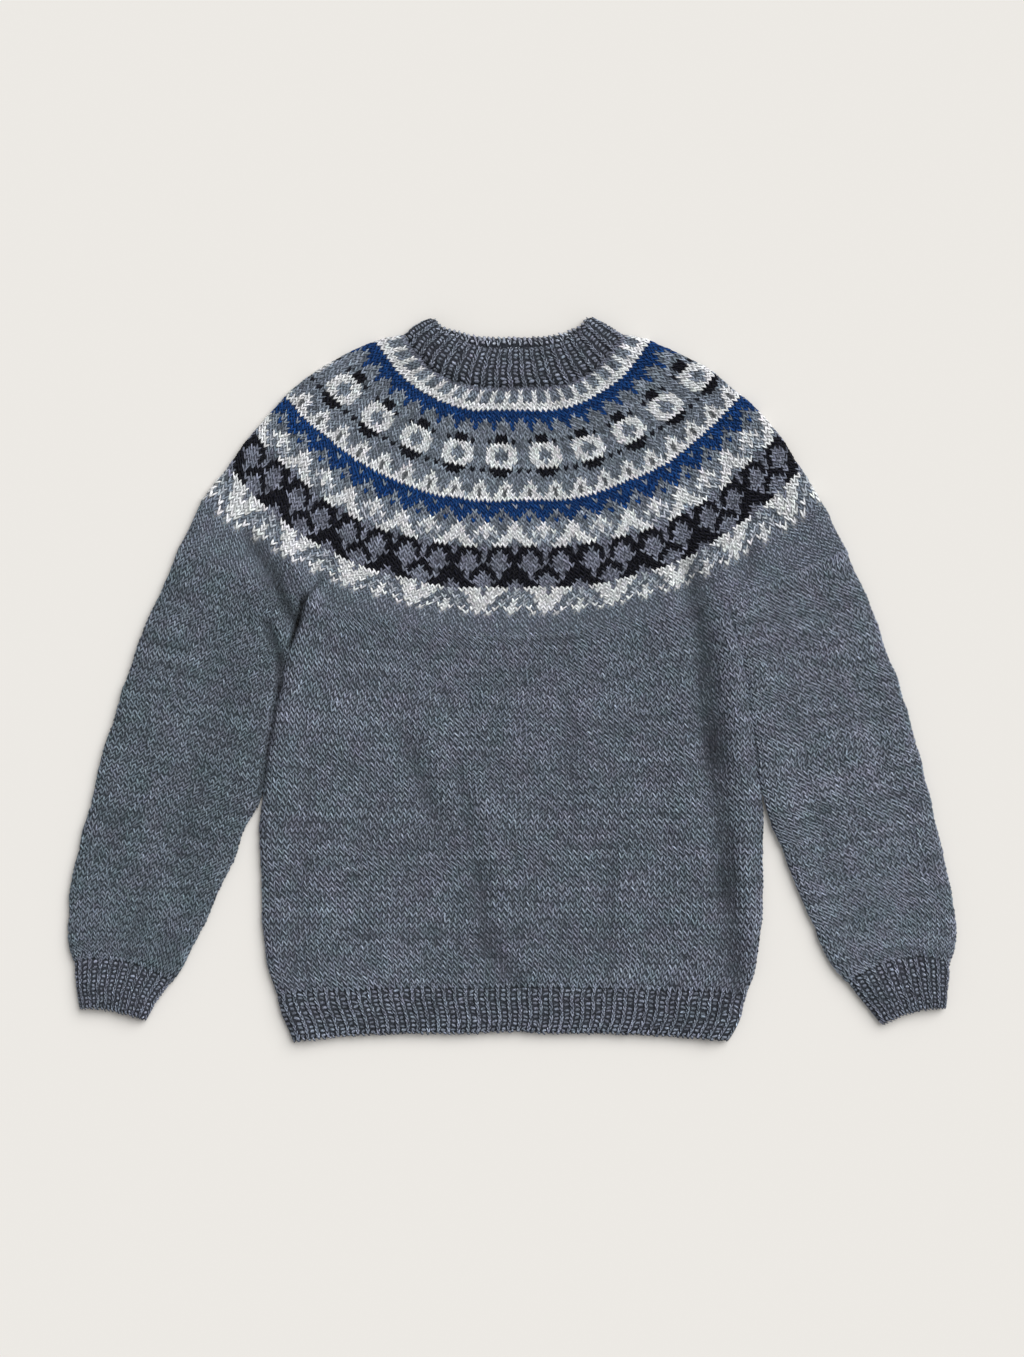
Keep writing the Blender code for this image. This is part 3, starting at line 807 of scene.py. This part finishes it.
# --- The cuffs ---
# Short bands of the same rib as the hem, knitted on to the sleeves' lower ends.
CUFF_COLUMNS = 40
CUFF_ROUNDS = 11
CUFF_HEIGHT = 0.4  # its knit columns stand up less than the hem's
CUFF_LIGHT = (1.14, 1.08)  # so both kinds are nearer in light
# the painted shade of the cloth in the cuffs' gaps, as with the hem's
CUFF_GAP_SHADE = 0.20
CUFF_TURN = 0.03  # as with the sleeves
CUFF_LEFT = (
    # outer x, outer y, inner x, inner y, bow
    (-386, -250.5, -301.6, -267, 10),
    (-384.6, -270, -312.6, -280.6, 6.5),
    (-382.2, -290, -325, -300.2, 3.5),
)
CUFF_RIGHT = (
    (387, -250.5, 297.6, -268, 13),
    (384.8, -270.6, 309.6, -283.6, 8),
    (382, -290.4, 326, -302.6, 4),
)

for name, side, table, flat, area, seed in (
    ("left", -1, CUFF_LEFT, (0.185, 0.044), 0.0066, 41),
    ("right", 1, CUFF_RIGHT, (0.197, 0.048), 0.0074, 51),
):
    lines = [bowed_line((outer_x, outer_y), (inner_x, inner_y), bow)[::-side]
             for outer_x, outer_y, inner_x, inner_y, bow in table[::-1]]
    cloth = raise_ribs(tube(lines, CUFF_ROUNDS, 4 * CUFF_COLUMNS), CUFF_COLUMNS // 2, CUFF_HEIGHT)
    cuff = backing(f"cuff_{name}_cloth", cloth, dark(cloth, RIB_GREY, CUFF_GAP_SHADE), marled_rib)
    stitches = rib_round(f"cuff_{name}", cloth, CUFF_COLUMNS, range(CUFF_ROUNDS), CUFF_TURN,
                         RIB_FLAT, seed, RIB_LAP, CUFF_LIGHT)
    stitches.append(cast_edge(f"cuff_{name}_edge", cloth, edge_strand, CUFF_COLUMNS, 0.0, RIB_GREY,
                              seed + 6))
    finish_piece(cuff, stitches, f"cuff_{name}")


# --- The yoke ---
# The round yoke, knitted up from body and sleeves with fewer stitches at each shaping round, and
# with two yarns a round for the pattern: triangles, a dark lattice, teeth, dotted triangles, rings.
YOKE_ROUNDS = 62
PLAIN_ROUNDS = 6  # between the joining round and the pattern
YOKE_POINTS = 480  # round its cloth
STITCH_TALL = 3.8  # height of a plain stitch
JOIN_COLUMNS = 276  # stitches all round below the pattern
JOIN_LAP = 0.4  # how far, in rounds, the first stitches reach over the pieces below
YOKE_LIGHT = (1.22, 0.88)  # its legs differ less in light
YOKE_LOOSE = (1.0, 1.5)  # the brushed yarns of the pattern lie less evenly than the plain ones
YOKE_DRIFT = 0.03
YOKE_CHANGE = (0.07, 0.22)  # how much yarns differ from stitch to stitch, then ash and lilac
YOKE_COLUMNS = 240  # stitches of the pattern's widest round
BEHIND = (0.22, 0.90)  # painted shade: how light a dark and a pale yarn are drawn behind the stitches
YOKE = (
    # round, middle, left x, left y, right x, right y, fullness, back lift, layers
    (0, JOIN_MIDDLE, -JOIN_HALF, 116.1, JOIN_HALF, 116.1, JOIN_FULLNESS, 0, 7.8),
    (6, 57.8, -273, 157.4, 272.4, 157.4, 2.3, 0, 7.8),
    (13, 81.2, -252, 187.6, 254, 186.4, 2.7, 0.5, 7.8),
    (23, 116.6, -229.6, 218.4, 235, 218, 2.75, 1, 7.8),
    (34, 157.6, -200.4, 249.2, 202.2, 250, 2.5, 2, 7.9),
    (45, 196.5, -166.4, 275.6, 170.2, 275.6, 2.45, 3.5, 8),
    (56, 237.1, -122, 298.2, 122.6, 298.2, 3, 5.5, 8.4),
    (62, 258.4, -96, 303.4, 97, 303.6, 3.3, 7, 9),
)
YARNS = {
    "g": BODY_GREY,
    ".": (134, 144, 157),  # ash, the yoke's ground
    "l": (130, 135, 151),  # lilac grey inside the lattice, and painted shade under the neckband
    "s": (186, 193, 203),  # silver
    "w": (235, 237, 239),
    "k": (22, 23, 33),
    "b": (22, 66, 126),
    "h": (108, 112, 116),  # ash painted darker, as shade where it sinks between white stitches
}
BANDS = (
    # stitches all round, where the chart's first stitch lies, and the chart from its top round down
    (240, 0, (
        "slwwwwgwwwwl",
        "s..wwwlwww..",
        ".s..wwwww..s",
        "w.s.wwwww.s.",
        "w.s..www..s.",
        "wwgwgwwwgwgw",
        "wgggwgwgwggg",
    )),
    (240, 0, (
        "lkkkklllkkkk",
        "lkklkklkklkk",
        "kklllklklllk",
        "kklllklklllk",
        "klllllklllll",
        "kklllkkklllk",
        "kkklkklkklkk",
        "kkklklllklkk",
        "lkkklllllkkk",
        "llkkklllkkkl",
    )),
    (240, 0, (
        "w.....w.....",
        "ww...www...w",
        "ww..wswsw..w",
        "www.s.w.s.ww",
        ".www.s.s.www",
        "l.www.l.www.",
    )),
    (240, 0, (
        "bbbbbb",
        ".bbbbb",
        "bbb.bb",
        "bb...b",
        "b..b..",
    )),
    (240, -2, (
        "w.....",
        "ww...w",
        "hw...w",
        "hww.ww",
        "wwwwww",
    )),
    (200, 0, (".",)),
    (200, -3, (
        "kkk.k.k.kk",
        "kk.......k",
    )),
    (200, -3, (
        "www.....ww",
        ".www...www",
        "..ww...ww.",
        "..ww...ww.",
        ".www...www",
        "www.....ww",
    )),
    (200, -3, (
        "kk.......k",
        "kk.k...k.k",
    )),
    (160, 0, (".",)),
    (160, 0, (
        "bbbb",
        "bbbb",
        "bb.b",
        "b...",
        "b...",
    )),
    (126, -1.5, (
        # this top round of lilac grey is painted shade under the neckband's edge
        "lll",
        "w..",
        "w..",
        "w..",
        "www",
        "www",
    )),
)


def yoke_rounds():
    """For each round above the plain ones: the shares of the way round at which its stitches lie,
    from the middle of the back, and their yarns."""
    rounds = []
    for around, first, chart in BANDS:
        column = np.arange(around) - around // 2
        start = math.floor(first)
        for row in chart[::-1]:
            letters = np.array(list(row))[(column - start) % len(row)]
            rounds.append(((np.arange(around) + first - start) / around, letters))
    return rounds


def plan_plain_rounds(rings, columns):
    """A plan of the plain stitches between the joining round and the pattern. At the shoulders the
    band is deeper, and short rows fill it."""
    share = np.arange(columns) / columns
    low, high = rings[[0, PLAIN_ROUNDS]][:, np.round(share * rings.shape[1]).astype(int)]
    rows = np.round(np.linalg.norm(high - low, axis=1) / STITCH_TALL).astype(int)
    tall = (PLAIN_ROUNDS + JOIN_LAP) / rows
    return np.array([(share[column], row * tall[column] - JOIN_LAP, 1 / columns, tall[column])
                     for column in range(columns) for row in range(rows[column])])


brushed_stitch = model_strand(3, (0.26, 0.88, 0.72), 24.0, (0.25, 0.5, 0.40), True)
yoke_wool = wool("yoke_wool", 0.44, 1.1, 0.22, 0.5, 0.08)
tones = {letter: shade(*colour) for letter, colour in YARNS.items()}
pattern_rounds = yoke_rounds()
yoke_lines = [round_line(*row[1:7]) for row in YOKE]
yoke_cloth = tube(yoke_lines, YOKE_ROUNDS, YOKE_POINTS, [row[0] for row in YOKE],
                  [row[8] for row in YOKE], [row[7] for row in YOKE])
# The cloth behind the yoke is painted shade: each yarn darkened by BEHIND, and between two rounds
# the darker of the two.
hidden = {letter: tone * np.interp(tone.max(), (0.0, 1.0), BEHIND)
          for letter, tone in tones.items()}
behind = np.tile(hidden["g"], (YOKE_ROUNDS + 1, YOKE_POINTS, 1))
tints = []
for shares, letters in pattern_rounds:
    nearest = np.round((np.arange(YOKE_POINTS) / YOKE_POINTS - shares[0]) * len(shares)).astype(int)
    tints.append([hidden[letter] for letter in letters[nearest % len(shares)]])
behind[PLAIN_ROUNDS:-1] = tints
behind[-1] = tints[-1]
behind[PLAIN_ROUNDS + 1:-1] = np.minimum(tints[1:], tints[:-1])
yoke = backing("yoke_cloth", yoke_cloth, behind, yoke_wool, 1)
plain = plan_plain_rounds(yoke_cloth[0], JOIN_COLUMNS)
pattern = [plan_rows(shares, [PLAIN_ROUNDS + index], 1.0 / len(shares))
           for index, (shares, _) in enumerate(pattern_rounds)]
yoke_pieces = []
for kind, plan, letters, stitch, material, loose, lit, seed in (
    ("plain", plain, ["g"] * len(plain), knit_stitch, heather_wool, YOKE_LOOSE[0], LEG_LIGHT, 61),
    ("pattern", np.concatenate(pattern), np.concatenate([row for _, row in pattern_rounds]),
     brushed_stitch, yoke_wool, YOKE_LOOSE[1], YOKE_LIGHT, 64),
):
    change = np.take(YOKE_CHANGE, np.isin(letters, list(".l")))[:, None]
    colours = heather(np.array([tones[letter] for letter in letters]), plan, YOKE_COLUMNS, seed,
                      YOKE_DRIFT, change)
    upper = (plan[:, 0] >= TOP_START) & (plan[:, 0] < TOP_END)
    for part, picked, strand, step in (("front", upper, stitch, 1),
                                       ("back", ~upper, plain_stitch, 2)):
        yoke_pieces.append(lay_stitches(f"yoke_{kind}_{part}", yoke_cloth, strand, plan[picked],
                                        colours[picked], material, seed + step, loose, lit))
finish_piece(yoke, yoke_pieces, "yoke")


# --- The neckband ---
# A round band of the same rib at the top of the yoke. Its back stands a little higher than its
# front, so the inside of the back shows above the front edge.
NECK_COLUMNS = 72
NECK_ROUNDS = 9
NECK_INSIDE_LIT_GREY = (160, 167, 180)  # painted light: the inside is drawn lighter than the rib's yarn
NECK_EAR = (0.93, 0.04, 3.0)  # a bump near both ends of its top: where, how wide and how high
NECK_LAP = 0.6  # how far, in rounds, its stitches reach over the yoke
NECK_BEAD = 0.20  # how far below its top the beads of its back's edge lie
NECK_HEIGHT = 0.5  # its knit columns stand up less than the hem's
NECK_LIGHT = (1.20, 1.06)  # so both kinds are nearer in light
NECK_TURN = 0.02  # as with the sleeves
NECK_LIP = 0.5  # how far below its top the last chain of the front lies
NECK_INSIDE = (3.0, 4.0, 4.9, 5.8, 7.35)  # rounds of stitches on its inside
NECKBAND = (
    # middle, left x, left y, right x, right y, fullness, back lift, layers, back rise
    (259.2, -95.2, 304.2, 96.2, 304.4, 3.3, 7, 9.8, 0),
    (276, -84.2, 313, 83.4, 313.2, 3, 8, 11, 1),
    (291.6, -71.8, 318, 69.6, 318.6, 2.75, 9.6, 11.4, 3),
)
neck_lines = [round_line(*row[:6]) for row in NECKBAND]
ear_at, ear_width, ear_height = NECK_EAR
from_ear = (np.abs(np.linspace(-1.0, 1.0, LINE_POINTS)) - ear_at) / ear_width
neck_lines[-1][:, 1] += ear_height * np.exp(-(from_ear**2))
neck_cloth = tube(neck_lines, NECK_ROUNDS, 4 * NECK_COLUMNS, None, [row[7] for row in NECKBAND],
                  [row[6] for row in NECKBAND], [row[8] for row in NECKBAND])
neck_cloth = raise_ribs(neck_cloth, NECK_COLUMNS // 2, NECK_HEIGHT)
neckband = backing("neckband_cloth", neck_cloth, dark(neck_cloth, RIB_GREY, RIB_GAP_SHADE), marled_rib)
neck_levels = np.linspace(-NECK_LAP, NECK_ROUNDS - 1 - 0.5 * NECK_LIP, NECK_ROUNDS + 1)
neck_stitches = rib_round("neckband", neck_cloth, NECK_COLUMNS, neck_levels, NECK_TURN,
                          RIB_FLAT, 71, light=NECK_LIGHT)
neck_inside = (neck_cloth[1][:, ::-1], neck_cloth[0][:, ::-1])
neck_stitches += knit_rib("neckband_inside", neck_inside, NECK_COLUMNS, NECK_INSIDE, TOP_END,
                          BACK_END, RIB_FLAT, NECK_INSIDE_LIT_GREY, 77)
neck_stitches.append(cast_edge("neckband_front_edge", neck_cloth, edge_strand, NECK_COLUMNS,
                               NECK_ROUNDS - NECK_LIP, RIB_GREY, 80, TOP_START, TOP_END))
bead = model_strand(4, (0.36, 0.66, 0.70), -14.0, (0.0, 0.0, 0.20))
neck_stitches.append(cast_edge("neckband_back_edge", neck_inside, bead, NECK_COLUMNS,
                               NECK_ROUNDS - NECK_BEAD, NECK_INSIDE_LIT_GREY, 81, TOP_END, BACK_END))
finish_piece(neckband, neck_stitches, "neckband")


# --- The floor and the light ---
# A plain pale ground and one broad soft light from the upper right, with an even sky.
FLOOR_Z = -0.0002  # just under the lowest stitches
bpy.ops.object.select_all(action="DESELECT")
bpy.ops.mesh.primitive_plane_add(size=6.0, location=(0.0, 0.0, FLOOR_Z))
floor = bpy.context.object
floor.name = "floor"
ground = bpy.data.materials.new("ground")
ground.use_nodes = True
put(ground.node_tree.nodes["Principled BSDF"],
    {"Base Color": (0.80, 0.777, 0.74, 1.0), "Roughness": 0.95, "Specular IOR Level": 0.0})
floor.data.materials.append(ground)

sun_data = bpy.data.lights.new("window_light", "SUN")
sun_data.energy = 2.9
sun_data.angle = math.radians(54.0)
sun = bpy.data.objects.new("window_light", sun_data)
sun.rotation_euler = (math.radians(-30.0), math.radians(34.0), 0.0)
scene.collection.objects.link(sun)
sky = bpy.data.worlds.new("sky")
sky.use_nodes = True
put(sky.node_tree.nodes["Background"], {"Color": (1.0, 1.0, 1.0, 1.0), "Strength": 0.39})
scene.world = sky
scene.view_settings.view_transform = "Standard"
